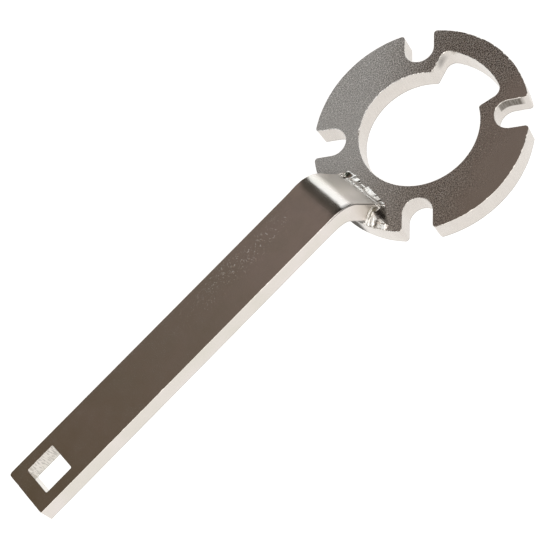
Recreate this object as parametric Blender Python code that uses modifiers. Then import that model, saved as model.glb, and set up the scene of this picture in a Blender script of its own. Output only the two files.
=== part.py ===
"""Fire hydrant wrench: a flat bar handle with a square hole, welded on top of a slotted steel head plate.

The handle lies along -X and the head plate at +X. The plate's underside is at Z = 0, and the origin is
under the middle of the whole tool. Sizes are in metres.
"""

import math

import bmesh
import bpy
from mathutils import Matrix, Vector

MM = 0.001
GAP = 0.3 * MM                       # clearance kept between pieces that touch

# Head plate
HEAD_RADIUS = 44.0 * MM
PLATE_THICKNESS = 9.7 * MM
PLATE_TURN = math.radians(-1.7)      # the plate is welded on slightly turned against the handle
BORE_RADIUS = 24.8 * MM
SLOT_COUNT = 4
SLOT_FIRST_ANGLE = math.radians(45)
SLOT_HALF_WIDTH = 6.1 * MM
SLOT_END_RADIUS = 36.3 * MM          # distance from the plate's centre to the centre of a slot's round end
SLOT_MOUTH_ROUND = 1.35 * MM

# Kidney-shaped pocket that opens into the bore, on the side away from the handle
POCKET_OUTER_RADIUS = 35.0 * MM
POCKET_CORNER_RADIUS = 4.0 * MM
POCKET_CORNER_ANGLE = math.radians(21.9)
POCKET_SIDE_FLARE = math.radians(17.4)
POCKET_NOSE_ROUND = 1.2 * MM

# Handle bar: a flat bar that rises from the plate at a slope, bends once, and runs out as the handle
BAR_WIDTH = 22.2 * MM
BAR_THICKNESS = 7.95 * MM
BAR_SLOPE = math.radians(61.0)
HANDLE_RISE = math.radians(5.45)
SLOPE_LENGTH = 10.75 * MM            # straight part of the slope, along its upper face
BEND_OUTER_RADIUS = 13.0 * MM
HANDLE_LENGTH = 152.3 * MM           # straight part of the handle, along its upper face
BAR_FOOT_X = -40.85 * MM             # lower corner of the bar's square-cut end, from the plate's centre
BAR_FOOT_LIFT = 0.4 * MM             # height of that corner above the plate
DRIVE_LENGTH = 12.8 * MM             # square hole, along the handle
DRIVE_WIDTH = 12.9 * MM              # square hole, across the handle
DRIVE_FROM_END = 12.6 * MM

# Weld metal
END_BEAD_TOE_X = -29.8 * MM
END_BEAD_BULGE = 0.9 * MM
END_BEAD_FACETS = 8
SIDE_WELD_SEGMENTS = 28
SIDE_WELD_RINGS = 16
SIDE_WELDS = {
    # name: side, centre x, reach along x, reach out from the bar, height
    "weld_right_fillet": (-1, -37.4 * MM, 6.6 * MM, 6.2 * MM, 4.6 * MM),
    "weld_left_fillet": (1, -34.6 * MM, 5.0 * MM, 4.0 * MM, 3.6 * MM),
}

# Edges and facets
EDGE_ROUND = 0.45 * MM
EDGE_SEGMENTS = 2
SHARP_ANGLE = math.radians(40)
ARC_STEP = math.radians(5)
SMALL_ARC_STEP = math.radians(18)
WELD_DISTANCE = 0.00001

COLLECTION_NAME = "fire_hydrant_wrench"
CUTTER_COLLECTION_NAME = "cutters"


def clear_scene():
    """Start from an empty file."""
    for scene_object in list(bpy.data.objects):
        bpy.data.objects.remove(scene_object, do_unlink=True)


def new_collection(name):
    collection = bpy.data.collections.new(name)
    bpy.context.scene.collection.children.link(collection)
    return collection


def metal(name, colour, roughness):
    """Plated steel, as a Principled material of one colour."""
    material = bpy.data.materials.new(name)
    material.use_nodes = True
    shader = material.node_tree.nodes["Principled BSDF"]
    shader.inputs["Base Color"].default_value = (*colour, 1.0)
    shader.inputs["Metallic"].default_value = 1.0
    shader.inputs["Roughness"].default_value = roughness
    return material


def polar(radius, angle):
    return Vector((radius * math.cos(angle), radius * math.sin(angle)))


def arc(centre, radius, start, end, step=ARC_STEP):
    """Points along an arc, both ends included. It turns clockwise when end is less than start."""
    count = max(2, math.ceil(abs(end - start) / step))
    return [centre + polar(radius, start + (end - start) * i / count) for i in range(count + 1)]


def turned(points, angle):
    rotation = Matrix.Rotation(angle, 2)
    return [rotation @ point for point in points]


def mirrored(points):
    """The same points on the other side of the X axis, in reverse order."""
    return [Vector((point.x, -point.y)) for point in reversed(points)]


def without_repeats(points):
    """Leave out each point that lies on the one before it."""
    kept = []
    for point in points:
        if not kept or (point - kept[-1]).length > WELD_DISTANCE:
            kept.append(point)
    if (kept[0] - kept[-1]).length < WELD_DISTANCE:
        kept.pop()
    return kept


def plate_rim():
    """The plate's outer outline, anticlockwise: an arc and a slot, SLOT_COUNT times."""
    corner_y = SLOT_HALF_WIDTH + SLOT_MOUTH_ROUND
    corner_x = math.sqrt((HEAD_RADIUS - SLOT_MOUTH_ROUND) ** 2 - corner_y**2)
    corner_angle = math.atan2(corner_y, corner_x)
    mouth = Vector((corner_x, corner_y))
    quarter = math.pi / 2
    # half of one slot, from the middle of its round end out to the rim
    half_slot = arc(Vector((SLOT_END_RADIUS, 0)), SLOT_HALF_WIDTH, 2 * quarter, quarter, SMALL_ARC_STEP)
    half_slot += arc(mouth, SLOT_MOUTH_ROUND, -quarter, corner_angle, SMALL_ARC_STEP)
    slot = mirrored(half_slot) + half_slot
    pitch = 2 * math.pi / SLOT_COUNT
    land = arc(Vector((0, 0)), HEAD_RADIUS, corner_angle, pitch - corner_angle)
    outline = []
    for i in range(SLOT_COUNT):
        outline += turned(slot + land, SLOT_FIRST_ANGLE + i * pitch)
    return without_repeats(turned(outline, PLATE_TURN))


def plate_bore():
    """The bore with its pocket, anticlockwise."""
    corner = polar(POCKET_OUTER_RADIUS - POCKET_CORNER_RADIUS, POCKET_CORNER_ANGLE)
    side_normal = polar(1, math.pi / 2 + POCKET_SIDE_FLARE)
    side_direction = polar(1, POCKET_SIDE_FLARE)
    # the nose's round touches the bore and the pocket's straight side
    nose_offset = side_normal.dot(corner) + POCKET_CORNER_RADIUS + POCKET_NOSE_ROUND
    nose_reach = BORE_RADIUS + POCKET_NOSE_ROUND
    nose = side_normal * nose_offset + side_direction * math.sqrt(nose_reach**2 - nose_offset**2)
    nose_angle = math.atan2(nose.y, nose.x)
    # half of the outline, from the pocket's middle round to the bore's far side
    half = arc(Vector((0, 0)), POCKET_OUTER_RADIUS, 0, POCKET_CORNER_ANGLE)
    half += arc(corner, POCKET_CORNER_RADIUS, POCKET_CORNER_ANGLE, math.pi / 2 + POCKET_SIDE_FLARE,
                SMALL_ARC_STEP)
    half += arc(nose, POCKET_NOSE_ROUND, POCKET_SIDE_FLARE - math.pi / 2, nose_angle - math.pi,
                SMALL_ARC_STEP)
    half += arc(Vector((0, 0)), BORE_RADIUS, nose_angle, math.pi)
    return without_repeats(turned(half + mirrored(half), PLATE_TURN))


def bar_profile():
    """The bar seen from the side, as (x, z) from the plate's centre and top face, anticlockwise.

    Also returns the upper corner of the handle's far end and the handle's direction.
    """
    slope = polar(1, math.pi - BAR_SLOPE)
    slope_normal = polar(1, math.pi / 2 - BAR_SLOPE)
    handle = polar(1, math.pi - HANDLE_RISE)
    handle_normal = polar(1, math.pi / 2 - HANDLE_RISE)
    foot = Vector((BAR_FOOT_X, BAR_FOOT_LIFT))
    end_top = foot + slope_normal * BAR_THICKNESS
    bend_start = end_top + slope * SLOPE_LENGTH
    bend_centre = bend_start - slope_normal * BEND_OUTER_RADIUS
    start, end = math.pi / 2 - BAR_SLOPE, math.pi / 2 - HANDLE_RISE
    upper = [end_top] + arc(bend_centre, BEND_OUTER_RADIUS, start, end)
    far_top = upper[-1] + handle * HANDLE_LENGTH
    far_bottom = far_top - handle_normal * BAR_THICKNESS
    lower = arc(bend_centre, BEND_OUTER_RADIUS - BAR_THICKNESS, end, start)
    return upper + [far_top, far_bottom] + lower + [foot], far_top, handle


def tool_middle():
    """Where the middle of the whole tool lies along X, from the plate's centre."""
    profile = bar_profile()[0]
    lowest = min(point.x for point in profile)
    return (lowest + HEAD_RADIUS) / 2


def extruded(name, outlines, half_depth, matrix, collection):
    """A flat outline, with any holes, as a closed solid: a filled 2D curve made a mesh."""
    curve = bpy.data.curves.new(name, "CURVE")
    curve.dimensions = "2D"
    curve.fill_mode = "BOTH"
    curve.extrude = half_depth
    for outline in outlines:
        spline = curve.splines.new("POLY")
        spline.points.add(len(outline) - 1)
        for point, place in zip(spline.points, outline):
            point.co = (place.x, place.y, 0, 1)
        spline.use_cyclic_u = True
    guide = bpy.data.objects.new(name + "_outline", curve)
    collection.objects.link(guide)
    guide.matrix_world = matrix
    bpy.context.view_layer.update()
    evaluated = guide.evaluated_get(bpy.context.evaluated_depsgraph_get())
    mesh = bpy.data.meshes.new_from_object(evaluated)
    mesh.name = name
    piece = bpy.data.objects.new(name, mesh)
    collection.objects.link(piece)
    piece.matrix_world = matrix
    bpy.data.objects.remove(guide, do_unlink=True)
    clean(mesh)
    return piece


def clean(mesh):
    """Join the loose caps and face every side outwards."""
    shape = bmesh.new()
    shape.from_mesh(mesh)
    bmesh.ops.remove_doubles(shape, verts=shape.verts, dist=WELD_DISTANCE)
    bmesh.ops.recalc_face_normals(shape, faces=shape.faces)
    shape.to_mesh(mesh)
    shape.free()
    mesh.shade_smooth()
    mesh.set_sharp_from_angle(angle=SHARP_ANGLE)


def soften_edges(piece):
    """A small round on every sharp edge."""
    bevel = piece.modifiers.new("edge_round", "BEVEL")
    bevel.width = EDGE_ROUND
    bevel.segments = EDGE_SEGMENTS
    bevel.limit_method = "ANGLE"
    bevel.angle_limit = SHARP_ANGLE


def box_mesh(name, size, matrix, collection):
    """A box of the given size, with the size in its mesh and its place in its matrix."""
    mesh = bpy.data.meshes.new(name)
    shape = bmesh.new()
    bmesh.ops.create_cube(shape, size=1.0, matrix=Matrix.Diagonal((*size, 1.0)))
    shape.to_mesh(mesh)
    shape.free()
    piece = bpy.data.objects.new(name, mesh)
    collection.objects.link(piece)
    piece.matrix_world = matrix
    return piece


def as_cutter(piece):
    piece.hide_render = True
    piece.display_type = "WIRE"


def boolean(piece, cutter, operation):
    modifier = piece.modifiers.new(cutter.name, "BOOLEAN")
    modifier.operation = operation
    modifier.solver = "EXACT"
    modifier.object = cutter


def side_view_matrix(origin):
    """Stands a flat XY outline up in the XZ plane, so that its Y runs along +Z."""
    return Matrix.Translation(origin) @ Matrix.Rotation(math.pi / 2, 4, "X")


def make_head_plate(collection, plate_centre):
    place = Matrix.Translation(plate_centre + Vector((0, 0, PLATE_THICKNESS / 2)))
    plate = extruded("head_plate", [plate_rim(), plate_bore()], PLATE_THICKNESS / 2, place, collection)
    soften_edges(plate)
    plate.data.materials.append(metal("plated_plate", (0.52, 0.51, 0.48), 0.38))
    return plate


def make_handle_bar(collection, cutters, plate_top):
    profile, far_top, handle = bar_profile()
    bar = extruded("handle_bar", [profile], BAR_WIDTH / 2, side_view_matrix(plate_top), collection)
    # the square hole goes through the handle at a right angle to its faces
    centre = far_top - handle * DRIVE_FROM_END
    place = (
        Matrix.Translation(plate_top + Vector((centre.x, 0, centre.y)))
        @ Matrix.Rotation(HANDLE_RISE, 4, "Y")
    )
    cutter = box_mesh("drive_hole_cutter", (DRIVE_LENGTH, DRIVE_WIDTH, 3 * BAR_THICKNESS), place, cutters)
    as_cutter(cutter)
    boolean(bar, cutter, "DIFFERENCE")
    soften_edges(bar)
    bar.data.materials.append(metal("plated_bar", (0.43, 0.39, 0.35), 0.30))
    return bar


def make_end_bead(collection, plate_top, material):
    """The fillet bead that fills the wedge between the bar's square-cut end and the plate."""
    end_normal = polar(1, -BAR_SLOPE)
    end_direction = polar(1, math.pi / 2 - BAR_SLOPE)
    root = Vector((BAR_FOOT_X, BAR_FOOT_LIFT)) + end_normal * GAP
    upper_toe = root + end_direction * BAR_THICKNESS
    lower_toe = Vector((END_BEAD_TOE_X, GAP))
    # the root's narrow end stops where the wedge is one gap thick
    wedge_start = root + end_direction * (2 * GAP - root.y) / end_direction.y
    chord = upper_toe - lower_toe
    middle = (upper_toe + lower_toe) / 2 + Vector((chord.y, -chord.x)).normalized() * END_BEAD_BULGE
    outline = [Vector((wedge_start.x, GAP)), lower_toe]
    for i in range(1, END_BEAD_FACETS):
        share = i / END_BEAD_FACETS
        outline.append(
            lower_toe * (1 - share) ** 2 + middle * 2 * share * (1 - share) + upper_toe * share**2
        )
    outline += [upper_toe, wedge_start]
    bead = extruded("weld_end_bead", [outline], BAR_WIDTH / 2, side_view_matrix(plate_top), collection)
    bead.data.materials.append(material)
    return bead


def make_side_weld(name, collection, cutters, plate_top, material):
    """A mass of weld metal against the bar's side: an ellipsoid cut flat by the bar and the plate."""
    side, centre_x, reach_x, reach_y, height = SIDE_WELDS[name]
    inner_y = side * (BAR_WIDTH / 2 + GAP)
    mesh = bpy.data.meshes.new(name)
    shape = bmesh.new()
    bmesh.ops.create_uvsphere(
        shape,
        u_segments=SIDE_WELD_SEGMENTS,
        v_segments=SIDE_WELD_RINGS,
        radius=1.0,
        matrix=Matrix.Diagonal((reach_x, reach_y, height, 1.0)),
    )
    shape.to_mesh(mesh)
    shape.free()
    weld = bpy.data.objects.new(name, mesh)
    collection.objects.link(weld)
    weld.matrix_world = Matrix.Translation(plate_top + Vector((centre_x, inner_y, GAP)))
    block = 4 * reach_x
    keep_place = plate_top + Vector((centre_x, inner_y + side * block / 2, GAP + block / 2))
    keeper = box_mesh(name + "_keeper", (block, block, block), Matrix.Translation(keep_place), cutters)
    as_cutter(keeper)
    boolean(weld, keeper, "INTERSECT")
    mesh.shade_smooth()
    mesh.set_sharp_from_angle(angle=SHARP_ANGLE)
    weld.data.materials.append(material)
    return weld


def main():
    clear_scene()
    collection = new_collection(COLLECTION_NAME)
    cutters = new_collection(CUTTER_COLLECTION_NAME)
    plate_centre = Vector((-tool_middle(), 0, 0))
    plate_top = plate_centre + Vector((0, 0, PLATE_THICKNESS))
    weld_metal = metal("plated_weld", (0.62, 0.60, 0.55), 0.22)
    make_head_plate(collection, plate_centre)
    make_handle_bar(collection, cutters, plate_top)
    make_end_bead(collection, plate_top, weld_metal)
    for name in SIDE_WELDS:
        make_side_weld(name, collection, cutters, plate_top, weld_metal)


main()
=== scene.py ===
"""Fire hydrant wrench: the looks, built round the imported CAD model.

Every CAD node is replaced by a finer mesh of the same size: edges with small rounds and nicks, a bar whose
section is squeezed where it is bent, and rippled weld metal. All of it is nickel-plated steel.
"""

import math
import random

import bmesh
import bpy
from mathutils import Matrix, Vector, geometry, noise


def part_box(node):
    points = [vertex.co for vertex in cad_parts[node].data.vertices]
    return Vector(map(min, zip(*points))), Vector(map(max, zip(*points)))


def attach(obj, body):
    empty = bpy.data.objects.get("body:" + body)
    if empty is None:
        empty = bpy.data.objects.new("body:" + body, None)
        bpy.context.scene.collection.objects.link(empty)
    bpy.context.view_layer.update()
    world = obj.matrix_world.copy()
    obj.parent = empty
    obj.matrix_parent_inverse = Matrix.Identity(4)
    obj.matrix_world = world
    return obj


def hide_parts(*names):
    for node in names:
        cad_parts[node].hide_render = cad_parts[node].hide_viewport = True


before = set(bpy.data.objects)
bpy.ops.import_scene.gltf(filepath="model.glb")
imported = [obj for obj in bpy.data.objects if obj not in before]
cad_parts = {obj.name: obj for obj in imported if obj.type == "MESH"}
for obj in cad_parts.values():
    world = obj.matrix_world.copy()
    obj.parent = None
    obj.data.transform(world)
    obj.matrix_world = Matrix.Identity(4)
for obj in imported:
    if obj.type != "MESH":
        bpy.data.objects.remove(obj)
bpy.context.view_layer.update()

MM = 0.001

# ---------------------------------------------------------------- sizes, in metres and radians

plate_low, plate_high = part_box("head_plate")
PLATE_CENTRE = Vector(((plate_low.x + plate_high.x) / 2, 0, 0))
PLATE_TOP = plate_high.z
HEAD_RADIUS = 44.0 * MM
PLATE_TURN = math.radians(-1.7)
BORE_RADIUS = 24.8 * MM
SLOT_COUNT = 4
SLOT_FIRST_ANGLE = math.radians(45)
SLOT_HALF_WIDTH = 6.1 * MM
SLOT_END_RADIUS = 36.3 * MM
SLOT_MOUTH_ROUND = 1.35 * MM
POCKET_OUTER_RADIUS = 35.0 * MM
POCKET_CORNER_RADIUS = 4.0 * MM
POCKET_CORNER_ANGLE = math.radians(21.9)
POCKET_SIDE_FLARE = math.radians(17.4)
POCKET_NOSE_ROUND = 1.2 * MM

BAR_WIDTH = 22.2 * MM
BAR_THICKNESS = 7.95 * MM
BAR_SLOPE = math.radians(61.0)
HANDLE_RISE = math.radians(5.45)
SLOPE_LENGTH = 10.75 * MM
BEND_OUTER_RADIUS = 13.0 * MM
HANDLE_LENGTH = 152.3 * MM
BAR_FOOT_X = -40.85 * MM
BAR_FOOT_LIFT = 0.4 * MM
DRIVE_LENGTH = 12.8 * MM
DRIVE_WIDTH = 12.9 * MM
DRIVE_FROM_END = 12.6 * MM


# ---------------------------------------------------------------- outlines

def polar(radius, angle):
    return Vector((radius * math.cos(angle), radius * math.sin(angle)))


def arc(centre, radius, start, end, spacing):
    """Points along an arc, both ends included, about spacing apart."""
    count = max(3, math.ceil(abs(end - start) * radius / spacing))
    return [centre + polar(radius, start + (end - start) * i / count) for i in range(count + 1)]


def turned(points, angle):
    rotation = Matrix.Rotation(angle, 2)
    return [rotation @ point for point in points]


def mirrored(points):
    return [Vector((point.x, -point.y)) for point in reversed(points)]


def even_spacing(points, spacing):
    """The same closed outline with long stretches divided, and repeated points left out."""
    dense = []
    for point, following in zip(points, points[1:] + points[:1]):
        length = (following - point).length
        if length < spacing / 50:
            continue
        steps = max(1, round(length / spacing))
        dense += [point.lerp(following, i / steps) for i in range(steps)]
    return dense


def plate_rim(spacing):
    """The plate's outer outline, anticlockwise: a slot and an arc, SLOT_COUNT times."""
    corner_y = SLOT_HALF_WIDTH + SLOT_MOUTH_ROUND
    corner_x = math.sqrt((HEAD_RADIUS - SLOT_MOUTH_ROUND) ** 2 - corner_y**2)
    corner_angle = math.atan2(corner_y, corner_x)
    quarter = math.pi / 2
    half_slot = arc(Vector((SLOT_END_RADIUS, 0)), SLOT_HALF_WIDTH, 2 * quarter, quarter, spacing)
    half_slot += arc(Vector((corner_x, corner_y)), SLOT_MOUTH_ROUND, -quarter, corner_angle, spacing / 2)
    slot = mirrored(half_slot) + half_slot
    pitch = 2 * math.pi / SLOT_COUNT
    land = arc(Vector((0, 0)), HEAD_RADIUS, corner_angle, pitch - corner_angle, spacing)
    outline = []
    for i in range(SLOT_COUNT):
        outline += turned(slot + land, SLOT_FIRST_ANGLE + i * pitch)
    return even_spacing(turned(outline, PLATE_TURN), spacing)


def plate_bore(spacing):
    """The bore with its kidney-shaped pocket, anticlockwise."""
    corner = polar(POCKET_OUTER_RADIUS - POCKET_CORNER_RADIUS, POCKET_CORNER_ANGLE)
    side_normal = polar(1, math.pi / 2 + POCKET_SIDE_FLARE)
    side_direction = polar(1, POCKET_SIDE_FLARE)
    nose_offset = side_normal.dot(corner) + POCKET_CORNER_RADIUS + POCKET_NOSE_ROUND
    nose_reach = BORE_RADIUS + POCKET_NOSE_ROUND
    nose = side_normal * nose_offset + side_direction * math.sqrt(nose_reach**2 - nose_offset**2)
    nose_angle = math.atan2(nose.y, nose.x)
    half = arc(Vector((0, 0)), POCKET_OUTER_RADIUS, 0, POCKET_CORNER_ANGLE, spacing)
    half += arc(corner, POCKET_CORNER_RADIUS, POCKET_CORNER_ANGLE, math.pi / 2 + POCKET_SIDE_FLARE, spacing)
    half += arc(nose, POCKET_NOSE_ROUND, POCKET_SIDE_FLARE - math.pi / 2, nose_angle - math.pi, spacing / 2)
    half += arc(Vector((0, 0)), BORE_RADIUS, nose_angle, math.pi, spacing)
    return even_spacing(turned(half + mirrored(half), PLATE_TURN), spacing)


def rounded_rectangle(low, high, radii, spacing):
    """Anticlockwise, with a corner radius for each of (+x+y, -x+y, -x-y, +x-y)."""
    corners = [(high.x, high.y), (low.x, high.y), (low.x, low.y), (high.x, low.y)]
    points = []
    for i, ((x, y), radius) in enumerate(zip(corners, radii)):
        inward = polar(radius * math.sqrt(2), math.pi / 4 + i * math.pi / 2)
        centre = Vector((x, y)) - inward
        start = i * math.pi / 2
        points += arc(centre, radius, start, start + math.pi / 2, radius / 4)
    return even_spacing(points, spacing)


# ---------------------------------------------------------------- solids from outlines

def along_outline(points):
    """The distance of each point along a closed outline, and the whole length."""
    lengths = [(b - a).length for a, b in zip(points, points[1:] + points[:1])]
    along = [0.0]
    for length in lengths[:-1]:
        along.append(along[-1] + length)
    return along, sum(lengths)


def outward_normals(points):
    """At each point of an outline with the material on its left, the direction away from the material."""
    normals = []
    for i in range(len(points)):
        tangent = (points[(i + 1) % len(points)] - points[i - 1]).normalized()
        normals.append(Vector((tangent.y, -tangent.x)))
    return normals


def worn_edge(points, base, wander, nick_count, nick_depth, seed):
    """The round's radius at each point of an outline: base(point, outward), a wander and a few nicks."""
    rng = random.Random(seed)
    along, total = along_outline(points)
    normals = outward_normals(points)
    offset = rng.uniform(0, 100)
    radii = []
    for s, point, normal in zip(along, points, normals):
        fine = noise.noise(Vector((s / (0.9 * MM) + offset, seed, 0)))
        slow = noise.noise(Vector((s / (5 * MM), seed, offset)))
        radii.append(base(point, normal) * (1 + wander * fine) * (1 + 0.6 * wander * slow))
    for _ in range(nick_count):
        place, width = rng.uniform(0, total), rng.uniform(0.2, 0.7) * MM
        depth = nick_depth * rng.uniform(0.2, 1.0) ** 1.5
        for i, s in enumerate(along):
            gap = min(abs(s - place), total - abs(s - place))
            if gap < 3 * width and normals[i].y < 0.3:
                radii[i] += depth * math.exp(-((gap / width) ** 2))
    return radii


def encloses(outline, place):
    """Whether a closed outline goes round a place."""
    inside = False
    for a, b in zip(outline, outline[1:] + outline[:1]):
        if (a.y > place.y) != (b.y > place.y) and place.x < a.x + (b.x - a.x) * (place.y - a.y) / (b.y - a.y):
            inside = not inside
    return inside


def fill_cap(shape, rings):
    """Triangles over the flat area between closed rings of vertices."""
    corners = [vertex for ring in rings for vertex in ring]
    edges = []
    for ring in rings:
        first = edges[-1][0] + 1 if edges else 0
        edges += [(first + i, first + (i + 1) % len(ring)) for i in range(len(ring))]
    holes = [[vertex.co.xy / MM for vertex in ring] for ring in rings[1:]]
    places = [corner.co.xy / MM for corner in corners]
    inside_only, tolerance = 1, 1e-6
    filled = geometry.delaunay_2d_cdt(places, edges, [], inside_only, tolerance)
    spots, triangles, origins = filled[0], filled[2], filled[3]
    for triangle in triangles:
        middle = (spots[triangle[0]] + spots[triangle[1]] + spots[triangle[2]]) / 3
        if not any(encloses(hole, middle) for hole in holes):
            shape.faces.new([corners[origins[i][0]] for i in triangle])


def rounded_slab(outlines, thickness, radii_for, round_steps=3):
    """A flat slab between z = 0 and thickness with rounded edges.

    Each outline has the material on its left. radii_for gives the top and bottom rounds' radii at its points.
    """
    support = 0.12 * MM
    shape = bmesh.new()
    cap_rings = {"top": [], "bottom": []}
    for index, points in enumerate(outlines):
        count = len(points)
        normals = [-normal for normal in outward_normals(points)]
        top, bottom = radii_for(index, points)
        stations = [("bottom", None)]
        stations += [("bottom", k / round_steps) for k in range(round_steps + 1)]
        stations += [("wall", -1), ("wall", 0), ("wall", 1)]
        stations += [("top", 1 - k / round_steps) for k in range(round_steps + 1)]
        stations += [("top", None)]
        rings = []
        for kind, share in stations:
            ring = []
            for i, (point, normal) in enumerate(zip(points, normals)):
                if kind == "wall":
                    offset = 0
                    low, high = bottom[i] + support, thickness - top[i] - support
                    z = (low, (low + high) / 2, high)[share + 1]
                else:
                    radius = bottom[i] if kind == "bottom" else top[i]
                    if share is None:
                        offset, rise = radius + support, 0
                    else:
                        offset = radius * (1 - math.sin(share * math.pi / 2))
                        rise = radius * (1 - math.cos(share * math.pi / 2))
                    z = rise if kind == "bottom" else thickness - rise
                place = point + normal * offset
                ring.append(shape.verts.new((place.x, place.y, z)))
            rings.append(ring)
        for lower, upper in zip(rings, rings[1:]):
            for i in range(count):
                j = (i + 1) % count
                shape.faces.new((lower[i], lower[j], upper[j], upper[i]))
        cap_rings["bottom"].append(rings[0])
        cap_rings["top"].append(rings[-1])
    for rings in cap_rings.values():
        fill_cap(shape, rings)
    bmesh.ops.recalc_face_normals(shape, faces=shape.faces)
    return shape


def piece_from(shape, name, material):
    mesh = bpy.data.meshes.new(name)
    shape.to_mesh(mesh)
    shape.free()
    mesh.shade_smooth()
    piece = bpy.data.objects.new(name, mesh)
    bpy.context.scene.collection.objects.link(piece)
    mesh.materials.append(material)
    return piece


def hand_over(piece, node):
    """The piece stands for its CAD node, which is hidden, and hangs from the root body."""
    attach(piece, "root")
    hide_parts(node)


# ---------------------------------------------------------------- materials

class Metal:
    """A plated metal under construction: a metallic shader, and helpers that add texture nodes to it."""

    def __init__(self, name, place=None):
        self.material = bpy.data.materials.new(name)
        self.material.use_nodes = True
        self.nodes, self.links = self.material.node_tree.nodes, self.material.node_tree.links
        self.shader = self.nodes["Principled BSDF"]
        self.shader.inputs["Metallic"].default_value = 1.0
        if place is None:
            self.place = self.nodes.new("ShaderNodeTexCoord").outputs["Object"]
        else:
            attribute = self.nodes.new("ShaderNodeAttribute")
            attribute.attribute_name = place
            self.place = attribute.outputs["Vector"]
        split = self.nodes.new("ShaderNodeSeparateXYZ")
        self.links.new(self.place, split.inputs["Vector"])
        self.x, self.y, self.z = split.outputs["X"], split.outputs["Y"], split.outputs["Z"]

    def feed(self, socket, value):
        if isinstance(value, bpy.types.NodeSocket):
            self.links.new(value, socket)
        else:
            socket.default_value = value

    def noise(self, size, detail=2.0, distortion=0.0, stretch=(1, 1, 1)):
        """Noise about 0.5, with features of about the size given in metres."""
        mapping = self.nodes.new("ShaderNodeMapping")
        mapping.inputs["Scale"].default_value = [1 / (size * share) for share in stretch]
        self.links.new(self.place, mapping.inputs["Vector"])
        texture = self.nodes.new("ShaderNodeTexNoise")
        texture.inputs["Scale"].default_value = 1.0
        texture.inputs["Detail"].default_value = detail
        texture.inputs["Distortion"].default_value = distortion
        self.links.new(mapping.outputs["Vector"], texture.inputs["Vector"])
        return texture.outputs["Fac"]

    def remap(self, value, from_low, from_high, to_low, to_high, smooth=False):
        ramp = self.nodes.new("ShaderNodeMapRange")
        if smooth:
            ramp.interpolation_type = "SMOOTHSTEP"
        for name, limit in (
            ("From Min", from_low), ("From Max", from_high), ("To Min", to_low), ("To Max", to_high)
        ):
            self.feed(ramp.inputs[name], limit)
        self.feed(ramp.inputs["Value"], value)
        return ramp.outputs["Result"]

    def math(self, operation, first, second=0.0):
        node = self.nodes.new("ShaderNodeMath")
        node.operation = operation
        self.feed(node.inputs[0], first)
        self.feed(node.inputs[1], second)
        return node.outputs["Value"]

    def slant(self, along_x, along_y, origin):
        """The place measured along a flat direction from an origin."""
        centred = self.math("SUBTRACT", self.x, origin.x)
        across = self.math("MULTIPLY", self.math("SUBTRACT", self.y, origin.y), along_y)
        return self.math("ADD", self.math("MULTIPLY", centred, along_x), across)

    def near(self, point, inner, outer):
        """1 within inner of a point, falling to 0 at outer."""
        node = self.nodes.new("ShaderNodeVectorMath")
        node.operation = "DISTANCE"
        self.links.new(self.place, node.inputs[0])
        node.inputs[1].default_value = point
        return self.remap(node.outputs["Value"], inner, outer, 1.0, 0.0, smooth=True)

    def both(self, *shares):
        product = shares[0]
        for share in shares[1:]:
            product = self.math("MULTIPLY", product, share)
        return product

    def mix(self, share, first, second):
        """A colour from first, at share 0, to second, at share 1."""
        node = self.nodes.new("ShaderNodeMix")
        node.data_type = "RGBA"
        self.feed(node.inputs["Factor"], share)
        for name, colour in (("A", first), ("B", second)):
            self.feed(node.inputs[name], (*colour, 1) if isinstance(colour, tuple) else colour)
        return node.outputs["Result"]

    def shaded(self, colour, level):
        """The colour multiplied by a level."""
        node = self.nodes.new("ShaderNodeVectorMath")
        node.operation = "SCALE"
        self.feed(node.inputs["Vector"], colour)
        self.feed(node.inputs["Scale"], level)
        return node.outputs["Vector"]

    def darkened(self, level, share, amount):
        """The level lowered by the amount where share is 1."""
        return self.math("MULTIPLY", level, self.math("SUBTRACT", 1.0, self.math("MULTIPLY", share, amount)))

    def finish(self, colour, roughness, heights):
        """Sets the shader's colour and roughness, and its bumps from pairs of height and depth."""
        self.feed(self.shader.inputs["Base Color"], colour)
        self.feed(self.shader.inputs["Roughness"], roughness)
        normal = None
        for height, depth in heights:
            bump = self.nodes.new("ShaderNodeBump")
            bump.inputs["Distance"].default_value = depth
            self.feed(bump.inputs["Height"], height)
            if normal is not None:
                self.links.new(normal, bump.inputs["Normal"])
            normal = bump.outputs["Normal"]
        self.links.new(normal, self.shader.inputs["Normal"])
        return self.material


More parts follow.
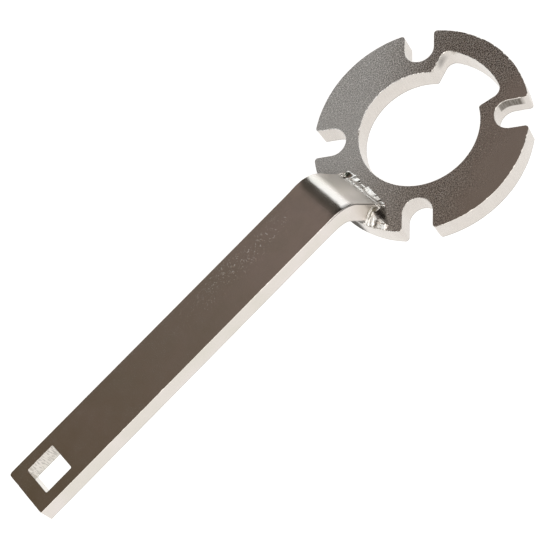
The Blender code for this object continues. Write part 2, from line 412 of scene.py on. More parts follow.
def plate_metal():
    """Plated plate: frosted and sparkling at the handle's far side, smooth and darker towards the other."""
    metal = Metal("plated_plate_fine")
    top = metal.remap(metal.z, PLATE_TOP - 0.3 * MM, PLATE_TOP - 0.1 * MM, 0.0, 1.0)
    wall = metal.remap(metal.z, PLATE_TOP - 0.5 * MM, PLATE_TOP - 0.3 * MM, 1.0, 0.0)

    wander = metal.math("MULTIPLY", metal.noise(9 * MM, 3.0), 14 * MM)
    grain_edge = metal.math("ADD", metal.slant(-0.30, 0.84, PLATE_CENTRE), wander)
    grainy = metal.both(metal.remap(grain_edge, -28 * MM, -10 * MM, 0.0, 1.0, smooth=True), top)
    frost_wander = metal.math("MULTIPLY", wander, 0.4)
    frost_edge = metal.math("ADD", metal.slant(-0.54, 0.84, PLATE_CENTRE), frost_wander)
    frost = metal.both(metal.remap(frost_edge, -7 * MM, 31 * MM, 0.0, 1.0, smooth=True), top)
    coarse = metal.remap(metal.slant(0.75, 0.66, PLATE_CENTRE), 4 * MM, 26 * MM, 1.0, 1.45, smooth=True)

    grain = metal.noise(0.44 * MM, 2.0)
    sparks = metal.remap(metal.noise(0.6 * MM, 1.0), 0.60, 0.70, 0.0, 1.0)
    speckle = metal.math(
        "ADD", metal.remap(grain, 0.3, 0.7, -0.40, 0.30), metal.math("MULTIPLY", sparks, 0.40)
    )
    speckle = metal.both(speckle, grainy, coarse, metal.remap(frost, 0.0, 1.0, 2.4, 1.15))
    level = metal.math("ADD", speckle, 1.0)

    # The walls: upright streaks, a thin dark lower edge, and shade in the lee of the bar. That shade is
    # painted for the photo's side. From others it shows as a dark block that real metal would not have.
    streaks = metal.noise(0.5 * MM, 3.0, stretch=(1, 1, 14))
    level = metal.darkened(level, metal.both(metal.remap(streaks, 0.42, 0.62, 0.0, 1.0), wall), 0.03)
    # painted shade: the walls are darker towards their lower edge, where the floor's contact shadow is
    # reflected
    level = metal.darkened(level, metal.remap(metal.z, 0.35 * MM, 0.8 * MM, 1.0, 0.0, smooth=True), 0.42)
    lee = metal.both(
        metal.remap(metal.math("ABSOLUTE", metal.y), 6.5 * MM, 10.5 * MM, 1.0, 0.0, smooth=True),
        metal.remap(metal.x, PLATE_CENTRE.x - 41 * MM, PLATE_CENTRE.x - 39 * MM, 1.0, 0.0),
        wall,
    )
    level = metal.darkened(level, lee, 0.80)

    # the slot on the +X-Y side has a dark torn band along the upper part of one wall
    slot_angle = PLATE_TURN - SLOT_FIRST_ANGLE
    slot_along = metal.slant(math.cos(slot_angle), math.sin(slot_angle), PLATE_CENTRE)
    slot_across = metal.slant(-math.sin(slot_angle), math.cos(slot_angle), PLATE_CENTRE)
    ragged = metal.math("ADD", slot_across, metal.math("MULTIPLY", streaks, 2.4 * MM))
    band = metal.both(
        metal.remap(ragged, 4.6 * MM, 6.0 * MM, 0.0, 1.0, smooth=True),
        metal.remap(slot_across, 7.4 * MM, 7.8 * MM, 1.0, 0.0),
        metal.remap(slot_along, 31 * MM, 32 * MM, 0.0, 1.0),
        metal.remap(slot_along, 39.8 * MM, 41.7 * MM, 1.0, 0.0),
        metal.remap(metal.z, 4.3 * MM, 5.2 * MM, 0.0, 1.0, smooth=True),
        wall,
    )
    torn = metal.both(band, metal.remap(streaks, 0.38, 0.62, 0.95, 0.70))
    # a darker patch on the pocket's flank
    flank = PLATE_CENTRE + Vector((28.0 * MM, 13.2 * MM, 7.0 * MM))
    level = metal.darkened(level, metal.both(metal.near(flank, 0.8 * MM, 4.2 * MM), wall), 0.50)

    blotches = metal.noise(7 * MM, 3.0, 0.5)
    base = metal.mix(metal.remap(blotches, 0.3, 0.7, 0.0, 1.0), (0.620, 0.583, 0.547), (0.656, 0.621, 0.586))
    base = metal.mix(frost, base, (0.70, 0.70, 0.69))
    base = metal.mix(torn, base, (0.085, 0.070, 0.052))
    colour = metal.shaded(base, level)
    roughness = metal.math(
        "ADD",
        metal.remap(metal.noise(1.4 * MM, 3.0), 0.3, 0.7, 0.22, 0.28),
        metal.math("ADD", metal.math("MULTIPLY", grainy, 0.08), metal.math("MULTIPLY", frost, 0.12)),
    )
    roughness = metal.math("ADD", roughness, metal.math("MULTIPLY", lee, 0.30))
    # the frost is partly dull, and the painted shade wholly so: a mirror is bright at a grazing angle
    metallic = metal.darkened(metal.math("SUBTRACT", 1.0, metal.math("MULTIPLY", frost, 0.28)), lee, 1.0)
    metal.feed(metal.shader.inputs["Metallic"], metallic)
    metal.feed(metal.shader.inputs["Specular IOR Level"], metal.remap(lee, 0.0, 1.0, 0.5, 0.0))
    return metal.finish(
        colour, roughness,
        [(metal.both(grain, grainy), 0.08 * MM), (metal.noise(2.5 * MM, 3.0), 0.02 * MM)],
    )


def bar_metal(slope_length):
    """Rolled and plated flat bar: smooth, with a scatter of light specks along the middle of the handle."""
    metal = Metal("plated_bar_fine", place="flat")
    middle = metal.math("SUBTRACT", metal.y, metal.math("MULTIPLY", metal.noise(20 * MM, 2.0), 8 * MM))
    strip = metal.remap(metal.math("ABSOLUTE", middle), 2 * MM, 8 * MM, 1.0, 0.0, smooth=True)
    reach = metal.remap(metal.x, 100 * MM, 60 * MM, 0.0, 1.0, smooth=True)
    from_bend = metal.remap(metal.x, 24 * MM, 34 * MM, 0.0, 1.0, smooth=True)
    on_top = metal.remap(metal.z, 0.93 * BAR_THICKNESS, 0.97 * BAR_THICKNESS, 0.0, 1.0)
    specks = metal.remap(metal.noise(0.7 * MM, 1.0), 0.61, 0.70, 0.0, 1.0)
    specks = metal.both(specks, strip, reach, on_top, from_bend)

    blotches = metal.noise(16 * MM, 3.0, 0.5)
    base = metal.mix(metal.remap(blotches, 0.3, 0.7, 0.0, 1.0), (0.634, 0.607, 0.550), (0.690, 0.645, 0.614))
    # painted light: the handle's top is made lighter towards the bend, where more light falls on it
    near_bend = metal.both(metal.remap(metal.x, 90 * MM, 30 * MM, 0.0, 1.0, smooth=True), on_top)
    painted_light_near_bend = metal.remap(near_bend, 0.0, 1.0, 1.0, 1.10)
    level = metal.math("ADD", metal.math("MULTIPLY", specks, 0.45), painted_light_near_bend)
    # painted shade: darker along the bar's bottom edge, as on the plate's walls
    level = metal.darkened(level, metal.remap(metal.z, 0.3 * MM, 0.7 * MM, 1.0, 0.0, smooth=True), 0.30)
    # painted shade: the slope is painted darker towards -Y, and a thin dark line, a painted reflection,
    # follows its edge there
    on_slope = metal.remap(metal.x, slope_length + 0.5 * MM, slope_length + 5.5 * MM, 1.0, 0.0, smooth=True)
    slope_shade = metal.both(on_slope, metal.remap(metal.y, -9 * MM, -1 * MM, 1.0, 0.0, smooth=True), on_top)
    level = metal.darkened(level, slope_shade, 0.24)
    # painted shade: the bend's highlight is darkened out short of that edge
    highlight_cut_shade = metal.both(
        metal.remap(metal.y, -10.5 * MM, -8.9 * MM, 1.0, 0.0, smooth=True),
        metal.remap(metal.x, slope_length + 1.5 * MM, slope_length + 4.5 * MM, 0.0, 1.0, smooth=True),
        metal.remap(metal.x, slope_length + 6.5 * MM, slope_length + 9.5 * MM, 1.0, 0.0, smooth=True),
        on_top,
    )
    level = metal.darkened(level, highlight_cut_shade, 0.60)
    # painted reflection: a thin dark line along the -Y edge of the slope and bend, where its round reflects
    # dark surroundings
    line_height = metal.math("ADD", metal.z, metal.math("MULTIPLY", metal.noise(3 * MM, 2.0), 0.25 * MM))
    line = metal.both(
        metal.remap(line_height, 7.35 * MM, 7.5 * MM, 0.0, 1.0, smooth=True),
        metal.remap(line_height, 7.75 * MM, 7.9 * MM, 1.0, 0.0, smooth=True),
        metal.remap(metal.y, -10.95 * MM, -10.8 * MM, 1.0, 0.0),
        metal.remap(metal.x, 20 * MM, 26 * MM, 1.0, 0.0, smooth=True),
    )
    level = metal.darkened(level, line, 0.72)
    # broaching marks run down the square hole's walls near its corners
    hole = metal.both(
        metal.remap(metal.math("ABSOLUTE", metal.y), 6.2 * MM, 6.3 * MM, 0.0, 1.0),
        metal.remap(metal.math("ABSOLUTE", metal.y), 6.6 * MM, 6.7 * MM, 1.0, 0.0),
        metal.remap(metal.z, 7.6 * MM, 7.75 * MM, 1.0, 0.0),
    )
    marks = metal.noise(0.42 * MM, 3.0, 0.4, stretch=(1, 1, 7))
    level = metal.darkened(level, metal.both(hole, metal.remap(marks, 0.50, 0.62, 0.0, 1.0)), 0.32)
    colour = metal.shaded(base, level)
    roughness = metal.math(
        "ADD",
        metal.remap(metal.noise(5 * MM, 4.0, 0.3), 0.3, 0.7, 0.16, 0.21),
        metal.math("MULTIPLY", on_slope, 0.20),
    )
    return metal.finish(
        colour, roughness,
        [
            (specks, 0.02 * MM),
            (metal.noise(0.6 * MM, 2.0), 0.010 * MM),
            (metal.noise(3.5 * MM, 3.0), 0.02 * MM),
        ],
    )


def weld_metal():
    """Weld metal under bright plating: glossy, a little uneven."""
    metal = Metal("plated_weld_fine")
    blotches = metal.noise(1.6 * MM, 3.0, 0.6)
    colour = metal.mix(metal.remap(blotches, 0.3, 0.7, 0.0, 1.0), (0.62, 0.58, 0.53), (0.88, 0.86, 0.83))
    # Painted: slag in the crater (the first two rows), and painted shade on the dome by the bar's corner and
    # near the rim (the rest), standing in for dark reflections there. Each has its place from the plate's
    # centre and top and the start and end of its fade, in millimetres, and its share and tint.
    fringe = metal.remap(blotches, 0.3, 0.7, -0.2, 0.2)
    for x, y, z, inner, outer, share, tint in (
        (-31.2, 9.9, 0.8, 0.6, 1.7, 1.0, (0.20, 0.22, 0.19)),
        (-32.4, 8.9, 1.5, 0.5, 1.4, 1.0, (0.20, 0.22, 0.19)),
        # painted shade from here on: dark patches standing in for dark reflections on the dome
        (-35.6, -12.5, 3.8, 0.6, 2.2, 0.88, (0.17, 0.15, 0.12)),
        (-35.0, -13.3, 3.6, 0.8, 2.1, 0.85, (0.17, 0.15, 0.13)),
        (-34.8, -14.1, 2.9, 1.1, 2.3, 0.85, (0.16, 0.14, 0.13)),
        (-36.2, -13.4, 3.4, 0.8, 2.0, 0.85, (0.16, 0.14, 0.12)),
        (-36.6, -14.9, 2.6, 0.8, 2.0, 0.85, (0.16, 0.14, 0.13)),
        (-35.3, -15.7, 2.2, 0.9, 2.0, 0.85, (0.16, 0.14, 0.13)),
        (-39.3, -14.9, 1.2, 0.4, 1.6, 0.75, (0.18, 0.16, 0.14)),
    ):
        spot = PLATE_CENTRE + Vector((x * MM, y * MM, PLATE_TOP + z * MM))
        ragged = metal.math("ADD", metal.near(spot, inner * MM, outer * MM), fringe)
        colour = metal.mix(metal.remap(ragged, 0.25, 0.75, 0.0, share, smooth=True), colour, tint)
    # painted shade: two dark arcs beside the bar, along the weld's ledges
    beside = metal.math("ADD", metal.y, metal.math("MULTIPLY", metal.noise(1.2 * MM, 2.0), 0.5 * MM))
    beside = metal.math("ADD", beside, BAR_WIDTH / 2 - 0.25 * MM)
    along = metal.both(
        metal.remap(metal.x, PLATE_CENTRE.x - 40.8 * MM, PLATE_CENTRE.x - 39.8 * MM, 0.0, 1.0),
        metal.remap(metal.x, PLATE_CENTRE.x - 36.0 * MM, PLATE_CENTRE.x - 35.0 * MM, 1.0, 0.0),
    )
    for out in (0.18, 0.85):
        from_arc = metal.math("ABSOLUTE", metal.math("ADD", beside, out * MM))
        arc_share = metal.both(metal.remap(from_arc, 0.10 * MM, 0.24 * MM, 1.0, 0.0), along)
        colour = metal.mix(metal.math("MULTIPLY", arc_share, 0.85), colour, (0.19, 0.17, 0.12))
    roughness = metal.remap(metal.noise(0.9 * MM, 3.0), 0.3, 0.7, 0.14, 0.30)
    return metal.finish(colour, roughness, [(metal.noise(0.6 * MM, 3.0), 0.035 * MM)])


# ---------------------------------------------------------------- the head plate

def make_head_plate(material):
    """The ring. Its top edges are sharp on the far side and a little worn on the -Y side."""
    spacing = 0.45 * MM

    def top_radius(point, outward):
        return (0.11 + 0.13 * max(0.0, min(1.0, 0.5 - outward.y))) * MM

    def bottom_radius(point, outward):
        return 0.30 * MM

    def radii_for(index, points):
        top = worn_edge(points, top_radius, 0.6, 150 if index == 0 else 110, 0.50 * MM, 11 + index)
        bottom = worn_edge(points, bottom_radius, 0.3, 20, 0.25 * MM, 31 + index)
        return top, bottom

    rim = plate_rim(spacing)
    bore = list(reversed(plate_bore(spacing)))
    shape = rounded_slab([rim, bore], PLATE_TOP, radii_for)
    bmesh.ops.translate(shape, verts=shape.verts, vec=PLATE_CENTRE)
    piece = piece_from(shape, "head_plate_fine", material)
    hand_over(piece, "head_plate")
    return piece


# ---------------------------------------------------------------- the bar

class BarPath:
    """Where a point of the flat, unbent bar goes once the bar is bent.

    The turn eases in and out, and its middle has the radius of the CAD model's bend.
    """

    STEP = 0.05 * MM
    EASE_IN = 1.2 * MM
    EASE_OUT = 5.0 * MM

    def __init__(self):
        self.slope = polar(1, math.pi - BAR_SLOPE)
        self.slope_normal = polar(1, math.pi / 2 - BAR_SLOPE)
        self.handle = polar(1, math.pi - HANDLE_RISE)
        handle_normal = polar(1, math.pi / 2 - HANDLE_RISE)
        middle_radius = BEND_OUTER_RADIUS - BAR_THICKNESS / 2
        turn = BAR_SLOPE - HANDLE_RISE
        foot = Vector((BAR_FOOT_X, BAR_FOOT_LIFT))
        self.start = foot + self.slope_normal * (BAR_THICKNESS / 2)
        plain_start = self.start + self.slope * SLOPE_LENGTH
        plain_end = plain_start + (handle_normal - self.slope_normal) * middle_radius
        far_end = plain_end + self.handle * HANDLE_LENGTH

        # the eased bend from the origin: full curvature between two straight ramps, the same turn in all
        self.bend_length = turn * middle_radius + (self.EASE_IN + self.EASE_OUT) / 2
        angle, spot = math.pi - BAR_SLOPE, Vector((0.0, 0.0))
        self.places, self.normals = [spot.copy()], [self.slope_normal]
        for i in range(math.ceil(self.bend_length / self.STEP)):
            along = (i + 0.5) * self.STEP
            share = min(1.0, along / self.EASE_IN, max(0.0, (self.bend_length - along) / self.EASE_OUT))
            angle += self.STEP * share / middle_radius
            spot = spot + polar(1, angle) * self.STEP
            self.places.append(spot.copy())
            self.normals.append(polar(1, angle - math.pi / 2))
        # it starts where its end falls on the handle's own line
        miss = (far_end - (self.start + spot)).dot(handle_normal)
        self.slope_length = miss / self.slope.dot(handle_normal)
        self.bend_start = self.start + self.slope * self.slope_length
        self.bend_end = self.bend_start + spot
        self.length = self.slope_length + self.bend_length + (far_end - self.bend_end).dot(self.handle)
        self.handle_normal = handle_normal

    def frame_at(self, along):
        """The middle line's place and the upward normal, as (x, z) from the plate's centre and top."""
        into_bend = along - self.slope_length
        if into_bend <= 0:
            return self.start + self.slope * along, self.slope_normal
        if into_bend < self.bend_length:
            i = min(int(into_bend / self.STEP), len(self.places) - 2)
            share = into_bend / self.STEP - i
            normal = self.normals[i].lerp(self.normals[i + 1], share).normalized()
            return self.bend_start + self.places[i].lerp(self.places[i + 1], share), normal
        return self.bend_end + self.handle * (into_bend - self.bend_length), self.handle_normal

    def bend_share(self, along):
        """1 in the middle of the bend, falling smoothly to 0 a little way outside it."""
        middle = self.slope_length + 0.42 * self.bend_length
        return math.exp(-(((along - middle) / (0.5 * self.bend_length)) ** 2))

    def place(self, along, across, height):
        """A point of the flat bar, with height from its middle plane, as a point of the model."""
        share = self.bend_share(along)
        edge = (abs(across) / (BAR_WIDTH / 2)) ** 6
        # bending squeezes the inner side wider and draws the outer side in, and lifts the outer corners
        squeeze = (-0.35 * height / (BAR_THICKNESS / 2) + 0.05) * MM * share
        height += 0.25 * MM * share * edge * (1 if height > 0 else 0.4)
        across += math.copysign(squeeze, across) * (abs(across) / (BAR_WIDTH / 2)) ** 2
        middle, normal = self.frame_at(along)
        spot = middle + normal * height
        return Vector((PLATE_CENTRE.x + spot.x, across, PLATE_TOP + spot.y))


def make_handle_bar(path, material):
    """The bar as a flat slab with its square hole, cut across the bend, and then bent."""
    spacing = 0.5 * MM
    half = BAR_WIDTH / 2
    outline = rounded_rectangle(
        Vector((0, -half)), Vector((path.length, half)), (1.1 * MM, 0.4 * MM, 0.4 * MM, 0.6 * MM), spacing
    )
    hole_middle = path.length - DRIVE_FROM_END
    hole = rounded_rectangle(
        Vector((hole_middle - DRIVE_LENGTH / 2, -DRIVE_WIDTH / 2)),
        Vector((hole_middle + DRIVE_LENGTH / 2, DRIVE_WIDTH / 2)),
        (0.5 * MM,) * 4,
        spacing,
    )

    def outer_top(point, outward):
        worn = 0.45 * math.exp(-(((point.x - 9 * MM) / (9 * MM)) ** 2))
        if outward.y < -0.5:
            return (0.20 + worn) * MM
        return (0.11 + 0.7 * worn) * MM

    def even(point, outward):
        return 0.30 * MM

    def hole_top(point, outward):
        return 0.12 * MM

    corner_zone, corner_round = 1.4 * MM, 0.2 * MM

    def small_at_corners(points, radii):
        """The radii kept under the radius of the outline's own corners, so that the rounds do not fold."""
        limited = []
        for point, radius in zip(points, radii):
            from_end = min(point.x, path.length - point.x)
            at_corner = from_end < corner_zone and half - abs(point.y) < corner_zone
            limited.append(corner_round if at_corner else radius)
        return limited

    def radii_for(index, points):
        if index == 0:
            top = worn_edge(points, outer_top, 0.4, 60, 0.22 * MM, 51)
            bottom = worn_edge(points, even, 0.25, 20, 0.2 * MM, 61)
            return small_at_corners(points, top), small_at_corners(points, bottom)
        top = worn_edge(points, hole_top, 0.3, 8, 0.2 * MM, 71)
        bottom = worn_edge(points, even, 0.3, 6, 0.15 * MM, 81)
        return top, bottom

    shape = rounded_slab([outline, list(reversed(hole))], BAR_THICKNESS, radii_for)
    cuts = 44
    first, last = 0.5 * MM, path.slope_length + 1.35 * path.bend_length
    planes = [(Vector((first + (last - first) * i / cuts, 0, 0)), Vector((1, 0, 0))) for i in range(cuts + 1)]
    cuts_across = (-0.95, -0.87, -0.7, 0, 0.7, 0.87, 0.95)
    planes += [(Vector((0, half * share, 0)), Vector((0, 1, 0))) for share in cuts_across]
    on_plane = 1e-5
    for place, direction in planes:
        geometry = shape.verts[:] + shape.edges[:] + shape.faces[:]
        bmesh.ops.bisect_plane(shape, geom=geometry, dist=on_plane, plane_co=place, plane_no=direction)
    flat = shape.verts.layers.float_vector.new("flat")
    for vertex in shape.verts:
        x, y, z = vertex.co
        vertex[flat] = (x, y, z)
        vertex.co = path.place(x, y, z - BAR_THICKNESS / 2)
    bmesh.ops.recalc_face_normals(shape, faces=shape.faces)
    piece = piece_from(shape, "handle_bar_fine", material)
    hand_over(piece, "handle_bar")
    return piece


# ---------------------------------------------------------------- welds

def to_model(x, y, z):
    """From the plate's centre and top face to the model."""
    return PLATE_CENTRE + Vector((x, y, PLATE_TOP + z))


def smoothstep(low, high, value):
    share = min(1.0, max(0.0, (value - low) / (high - low)))
    return share * share * (3 - 2 * share)


def through(stations, value):
    """The value of a smooth curve through (place, value) stations in rising order."""
    if value <= stations[0][0]:
        return stations[0][1]
    for (a, first), (b, second) in zip(stations, stations[1:]):
        if value <= b:
            return first + (second - first) * smoothstep(a, b, value)
    return stations[-1][1]


def closed_loft(sections):
    """A closed body through closed sections of equal point counts, with flat ends."""
    shape = bmesh.new()
    rings = [[shape.verts.new(point) for point in section] for section in sections]
    count = len(rings[0])
    for lower, upper in zip(rings, rings[1:]):
        for i in range(count):
            j = (i + 1) % count
            shape.faces.new((lower[i], lower[j], upper[j], upper[i]))
    shape.faces.new(list(reversed(rings[0])))
    shape.faces.new(rings[-1])
    bmesh.ops.recalc_face_normals(shape, faces=shape.faces)
    return shape


def bead_section(path, y):
    """The end bead's cross-section at y: (x, z) points in millimetres, from the bar's corner to the toe.

    It goes on down the bar's slope, turns over a thin ridge, falls steeply and ends in a flatter toe.
    """
    rough = noise.noise(Vector((y / 1.3, 4.0, 0)))
    fine = noise.noise(Vector((y / 0.8, 9.0, 0)))
    ridge = through([(-9, 0.08), (-4, 0.10), (-2, 0.18), (-0.5, 0.42), (4, 0.42), (6, 0.15), (12, 0.1)], y)
    toe = through(
        [(-12, 0.8), (-10, 0.7), (-9, 1.0), (-7, 1.7), (-3, 2.0), (-0.4, 1.3), (0.6, 0.25), (3.2, 0.35),
         (4.2, 1.3), (6.4, 1.6), (7.4, 1.4), (8.6, 0.8), (12, 0.5)], y
    )
    toe_x = through(
        [(-12.4, -31.6), (-11.6, -30.9), (-9.6, -31.2), (-8.6, -30.7), (-5, -30.3), (-3, -30.0),
         (-0.6, -29.8), (0.2, -30.7), (2.6, -30.6), (3.4, -30.3), (4.2, -29.7), (7.2, -29.1), (8.6, -29.5),
         (10, -29.4), (11.2, -29.7), (12.0, -30.6)], y
    ) + 0.22 * rough + 0.10 * fine
    # each stretch of the section has a length and a downward angle in degrees
    stretches = [
        (0.9, 60),
        (ridge, 33 + 8 * rough),
        (2.0 - 0.5 * toe, 60 + 5 * rough),
        (0.25, 48),
        (toe, 41 + 3 * fine + 5 * rough),
    ]
    x, z = 0.0, 0.0
    points = [(x, z)]
    for length, angle in stretches:
        steps = 5
        for _ in range(steps):
            x += length / steps * math.cos(math.radians(angle))
            z -= length / steps * math.sin(math.radians(angle))
            points.append((x, z))
    corner = path.start + path.slope_normal * (BAR_THICKNESS / 2)
    corner_x, corner_z = corner.x / MM - 0.15, corner.y / MM + 0.05
    wide, tall = (toe_x - corner_x) / x, (corner_z + 0.08) / -z
    points = [(corner_x + px * wide, corner_z + pz * tall) for px, pz in points]
    # the crater near the +Y end
    hollow = smoothstep(7.6, 8.5, y) * (1 - smoothstep(10.4, 11.2, y))
    shaped = []
    for i, (px, pz) in enumerate(points):
        share = i / (len(points) - 1)
        sunk = 0.35 + 0.5 * (1 - share) ** 6 * corner_z
        shaped.append((px, pz + (min(pz, sunk) - pz) * hollow * (1 if share < 1 else 0)))
    return shaped, toe_x


def make_end_bead(path, material):
    """The bead along the bar's square-cut end."""
    sections = []
    steps = 170
    low, high = -12.2, 12.0
    for i in range(steps + 1):
        y = low + (high - low) * i / steps
        points, toe_x = bead_section(path, y)
        shrink = min(1.0, 0.15 + (y - low) / 1.5, 0.25 + (high - y) / 0.7)
        section = []
        for x, z in points:
            bump = 0.06 * shrink * noise.noise(Vector((x / 0.8, y / 0.8, z / 0.8)))
            section.append(to_model(x * MM, y * MM, (z * shrink + bump) * MM))
        section.append(to_model(toe_x * MM, y * MM, -0.6 * MM))
        section.append(to_model(BAR_FOOT_X + 2 * MM, y * MM, -0.6 * MM))
        x, z = points[0]
        section.append(to_model((x - 1.2) * MM, y * MM, (z - 0.9) * shrink * MM))
        sections.append(section)
    piece = piece_from(closed_loft(sections), "weld_end_bead_fine", material)
    hand_over(piece, "weld_end_bead")
    return piece


def polyline_distance(stations, x, y):
    """The distance from a point to a polyline."""
    best = 1e9
    for (ax, ay), (bx, by) in zip(stations, stations[1:]):
        span_x, span_y = bx - ax, by - ay
        share = ((x - ax) * span_x + (y - ay) * span_y) / (span_x**2 + span_y**2)
        share = min(1.0, max(0.0, share))
        best = min(best, math.hypot(x - ax - share * span_x, y - ay - share * span_y))
    return best


def puddle(name, node, side, toe, height_at, material):
    """A mass of weld metal against one side of the bar, in millimetres from the plate's centre and top.

    side is -1 or 1. toe gives its outer limit, as (x, distance out from the bar) stations, and
    height_at(x, y) its top surface.
    """
    inner = BAR_WIDTH / 2 / MM - 0.55
    low, high = toe[0][0], toe[-1][0]
    along_steps, out_steps = 130, 100
    sections = []
    for i in range(along_steps + 1):
        x = low + (high - low) * i / along_steps
        reach = inner + 0.55 + max(0.05, through(toe, x))
        top = []
        for k in range(out_steps + 1):
            y = side * (inner + (reach - inner) * (k / out_steps) ** 1.5)
            top.append((x, y, height_at(x, y)))
        section = [to_model(*(v * MM for v in point)) for point in top]
        section.append(to_model(x * MM, side * reach * MM, min(top[-1][2], 0) * MM - 0.5 * MM))
        section.append(to_model(x * MM, side * inner * MM, -0.5 * MM))
        sections.append(section)
    piece = piece_from(closed_loft(sections), name, material)
    hand_over(piece, node)
    return piece


def soft_least(values, softness):
    """The least of the values, with the creases between them rounded."""
    return -softness * math.log(sum(math.exp(-value / softness) for value in values))


def dimple(x, y, centre_x, centre_y, size_x, size_y):
    return math.exp(-(((x - centre_x) / size_x) ** 2 + ((y - centre_y) / size_y) ** 2))


def make_right_fillet(material):
    """The larger mass, on the -Y side: a dome out to the rim, under ridges that climb the bar's side."""
    half = BAR_WIDTH / 2 / MM
    right_toe = [(-38.6, -19.5), (-37.1, -19.1), (-36.1, -18.1), (-35.2, -16.8), (-34.1, -15.2),
                 (-32.8, -13.7), (-32.0, -12.9), (-31.1, -12.0), (-30.5, -10.6)]
    toe = [(-42.7, 0.0), (-42.0, 2.1), (-41.0, 4.9), (-40.0, 7.2), (-39.3, 8.3), (-38.5, 8.4), (-37.1, 8.0),
           (-36.1, 7.0), (-35.2, 5.7), (-34.1, 4.1), (-32.8, 2.6), (-32.0, 1.8), (-31.1, 0.9), (-30.6, 0.2)]
    climb = [(-42.7, 0.9), (-41.2, 2.0), (-39.5, 3.7), (-38.0, 4.9), (-36.5, 5.3), (-35.0, 4.7), (-34.0, 3.9),
             (-33.2, 2.2), (-32.4, 0.9), (-31.5, 0.2), (-30.6, 0.0)]
    ledge_width, ledge_drop, ledge_count = 0.55, 0.9, 2
    rim_lip, toe_lip, lip_reach = 0.35, 0.7, 0.25
    face_slope, dome_height = 0.62, 4.2

    def height_at(x, y):
        out = -y - half
        from_rim = max(0.0, HEAD_RADIUS / MM - math.hypot(x, y))
        from_toe = polyline_distance(right_toe, x, y) if out <= through(toe, x) else 0.0
        # the dome: a face down to the rim, a longer one down to the toe, and a ragged crest between them
        turn = math.atan2(y + 11.5, x + 35.5)
        ragged = 0.30 * noise.noise(Vector((turn * 8, 3.0, 0)))
        ragged += 0.16 * noise.noise(Vector((turn * 21, 7.0, 0)))
        rim_face = rim_lip * (1 - math.exp(-from_rim / lip_reach)) + face_slope * max(0.0, from_rim + ragged)
        toe_slope = face_slope + 0.70 * (1 - smoothstep(-37.6, -36.2, x))
        toe_face = toe_lip * (1 - math.exp(-from_toe / lip_reach)) + toe_slope * from_toe
        dome = soft_least([rim_face, toe_face, dome_height], 0.16) * (1 - 0.9 * smoothstep(-33.1, -31.8, x))
        # a tongue of it lies along the rim
        rim_angle = math.degrees(math.atan2(-y, -x))
        tongue_share = smoothstep(17.5, 21.0, rim_angle) * (1 - smoothstep(26.0, 27.2, rim_angle))
        tongue = 1.6 * math.exp(-(((from_rim - 1.9 - ragged) / 1.2) ** 2)) * tongue_share
        # ledges beside the bar, where the weld climbs its side
        step = min(max(0.0, out) / ledge_width, ledge_count)
        down = math.floor(step) + smoothstep(0.6, 1.0, step - math.floor(step))
        past_ledges = max(0.0, out - ledge_width * ledge_count)
        fillet = through(climb, x) - ledge_drop * down - 2.2 * past_ledges - 0.1 * out
        z = -soft_least([-dome, -tongue, -fillet], 0.10)
        # a hollow near the rim, a pit by the bar's foot and the groove that parts it from the end bead
        z -= 0.60 * dimple(x, y, -39.7, -14.6, 1.5, 0.8)
        z -= 0.35 * dimple(x, y, -41.6, -13.0, 0.45, 0.45)
        z += 0.06 * noise.noise(Vector((x / 1.5, y / 1.5, 2.0))) * smoothstep(0, 1.0, z)
        return min(z, 3.0 * min(from_rim, from_toe + 0.02)) - 0.06

    return puddle("weld_right_fillet_fine", "weld_right_fillet", -1, toe, height_at, material)


def make_left_fillet(material):
    """The smaller mass, on the +Y side."""
    half = BAR_WIDTH / 2 / MM
    toe = [(-41.4, 0.3), (-40.6, 1.8), (-39.0, 3.1), (-36.8, 3.6), (-34.5, 3.1), (-32.6, 2.1), (-31.4, 1.2),
           (-30.6, 0.2)]
    outline = [(x, half + reach) for x, reach in toe]

    def height_at(x, y):
        out = y - half
        gap = polyline_distance(outline, x, y) if out < through(toe, x) else 0
        z = 3.1 * (1 - math.exp(-gap / 1.5))
        phase = (out + 0.05 * (x + 36.5) ** 2) / 0.7
        z += 0.12 * math.cos(2 * math.pi * phase) * smoothstep(0, 1.5, z)
        z += 0.14 * noise.noise(Vector((x / 1.4, y / 1.4, 6.0))) * smoothstep(0, 1.0, z)
        return z - 0.06

    return puddle("weld_left_fillet_fine", "weld_left_fillet", 1, toe, height_at, material)


# ---------------------------------------------------------------- stage, lights and camera

def make_floor():
    """A white floor that mostly glows, as a light table does, so that shadows stay faint."""
    bpy.ops.mesh.primitive_plane_add(size=6, location=(0, 0, -0.0002))
    floor = bpy.context.object
    floor.name = "studio_floor"
    material = bpy.data.materials.new("floor_white")
    material.use_nodes = True
    shader = material.node_tree.nodes["Principled BSDF"]
    shader.inputs["Base Color"].default_value = (0.25, 0.25, 0.25, 1)
    shader.inputs["Roughness"].default_value = 1.0
    shader.inputs["Specular IOR Level"].default_value = 0.0
    shader.inputs["Emission Color"].default_value = (1, 0.99, 0.975, 1)
    shader.inputs["Emission Strength"].default_value = 0.98
    floor.data.materials.append(material)


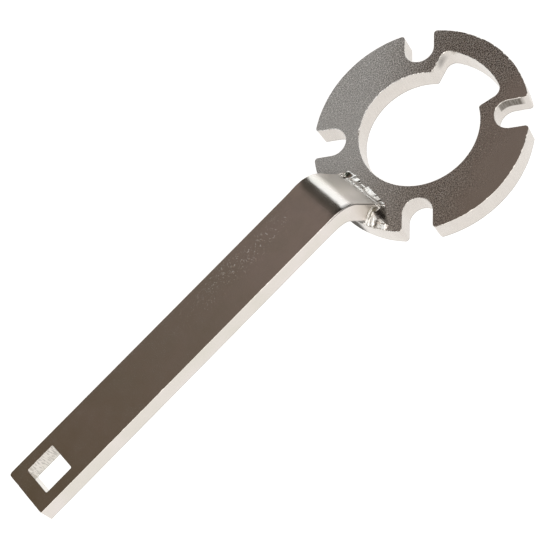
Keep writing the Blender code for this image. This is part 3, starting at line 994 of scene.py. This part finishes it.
def make_world():
    """A room that is dark and warm above and beyond the tool, and bright on the camera's side."""
    world = bpy.data.worlds.new("studio")
    world.use_nodes = True
    nodes, links = world.node_tree.nodes, world.node_tree.links
    background = nodes["Background"]
    direction = nodes.new("ShaderNodeTexCoord").outputs["Generated"]
    split = nodes.new("ShaderNodeSeparateXYZ")
    links.new(direction, split.inputs["Vector"])

    def ramp(value, low, high):
        node = nodes.new("ShaderNodeMapRange")
        node.interpolation_type = "SMOOTHSTEP"
        node.inputs["From Min"].default_value = low
        node.inputs["From Max"].default_value = high
        links.new(value, node.inputs["Value"])
        return node.outputs["Result"]

    def along(x, y, z):
        node = nodes.new("ShaderNodeVectorMath")
        node.operation = "DOT_PRODUCT"
        node.inputs[1].default_value = (x, y, z)
        links.new(direction, node.inputs[0])
        return node.outputs["Value"]

    def mix(share, first, second):
        node = nodes.new("ShaderNodeMix")
        node.data_type = "RGBA"
        links.new(share, node.inputs["Factor"])
        for name, colour in (("A", first), ("B", second)):
            if isinstance(colour, tuple):
                node.inputs[name].default_value = (*colour, 1)
            else:
                links.new(colour, node.inputs[name])
        return node.outputs["Result"]

    ceiling = mix(ramp(split.outputs["X"], -0.22, 0.34), (0.116, 0.081, 0.043), (0.262, 0.212, 0.191))
    walls = mix(ramp(split.outputs["Z"], 0.735, 0.785), (0.070, 0.061, 0.051), ceiling)
    front = mix(ramp(along(-0.25, -1.0, 0.0), 0.20, 0.50), walls, (1.75, 1.72, 1.68))
    links.new(front, background.inputs["Color"])
    bpy.context.scene.world = world


def soft_box(name, azimuth, elevation, distance, width, height, radiance, colour):
    """An area light that looks at the tool, with azimuth in degrees from +Y towards +X."""
    light = bpy.data.lights.new(name, "AREA")
    light.shape = "RECTANGLE"
    light.size, light.size_y = width, height
    light.energy = radiance * math.pi * width * height
    light.color = colour
    azimuth, elevation = math.radians(azimuth), math.radians(elevation)
    direction = Vector((
        math.cos(elevation) * math.sin(azimuth), math.cos(elevation) * math.cos(azimuth), math.sin(elevation)
    ))
    lamp = bpy.data.objects.new(name, light)
    lamp.location = direction * distance
    lamp.rotation_euler = (-direction).to_track_quat("-Z", "Y").to_euler()
    lamp.visible_camera = False
    bpy.context.scene.collection.objects.link(lamp)


def make_camera():
    camera_data = bpy.data.cameras.new("photo_camera")
    camera_data.sensor_width = 36
    camera_data.lens = 85.18
    camera_data.clip_start = 0.01
    place = Vector((PLATE_CENTRE.x - 0.08418, -0.27484, PLATE_TOP + 0.42584))
    forward = Vector((0.00854, 0.54845, -0.83614)).normalized()
    right = Vector((0.66411, -0.62824, -0.4053))
    right = (right - forward * right.dot(forward)).normalized()
    up = right.cross(forward)
    camera = bpy.data.objects.new("photo_camera", camera_data)
    camera.matrix_world = Matrix.Translation(place) @ Matrix((right, up, -forward)).transposed().to_4x4()
    bpy.context.scene.collection.objects.link(camera)
    bpy.context.scene.camera = camera


# ---------------------------------------------------------------- putting it together

weld = weld_metal()
bar_path = BarPath()
make_head_plate(plate_metal())
make_handle_bar(bar_path, bar_metal(bar_path.slope_length))
make_end_bead(bar_path, weld)
make_right_fillet(weld)
make_left_fillet(weld)

make_floor()
make_world()
daylight = (0.93, 0.975, 1.0)
light_distance = 1.2
soft_box("side_box", 52, 10.5, light_distance, width=0.85, height=0.57, radiance=1.38, colour=daylight)
soft_box("far_card", -8, 34, light_distance, width=0.70, height=0.36, radiance=1.3, colour=daylight)
soft_box("left_card", -75, 38, light_distance, width=0.70, height=0.75, radiance=1.2, colour=daylight)
make_camera()

bpy.context.scene.view_settings.view_transform = "Standard"
